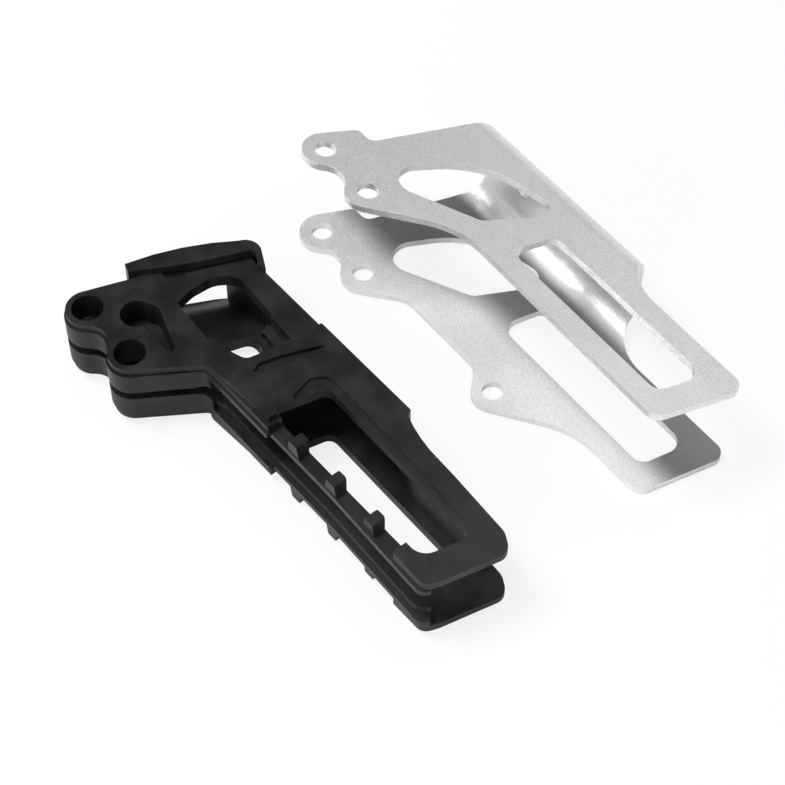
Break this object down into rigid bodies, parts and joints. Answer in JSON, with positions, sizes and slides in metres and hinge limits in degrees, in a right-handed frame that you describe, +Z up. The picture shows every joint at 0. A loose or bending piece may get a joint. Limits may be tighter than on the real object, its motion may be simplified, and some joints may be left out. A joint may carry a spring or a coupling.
{
  "type": "motorcycle chain guide",
  "caption": "Chain guide for a motorcycle, apart: black moulded guide block with a channel for the chain, and a folded aluminium side bracket with windowed cheeks.",
  "frame": {"origin": "centre of the side bracket's lower middle bolt hole, at the underside of its lower cheek, on the floor", "axes": "+X along the bracket's fold towards its rear end, +Y towards its web, +Z up"},
  "size_m": [0.1925, 0.1883, 0.0508],
  "materials": {
    "black_plastic": "matte moulded",
    "aluminium_sheet": "satin tumbled, bright cut edges"
  },
  "bodies": {
    "root": {"guide_block": "black_plastic", "side_bracket": "aluminium_sheet"}
  },
  "joints": []
}
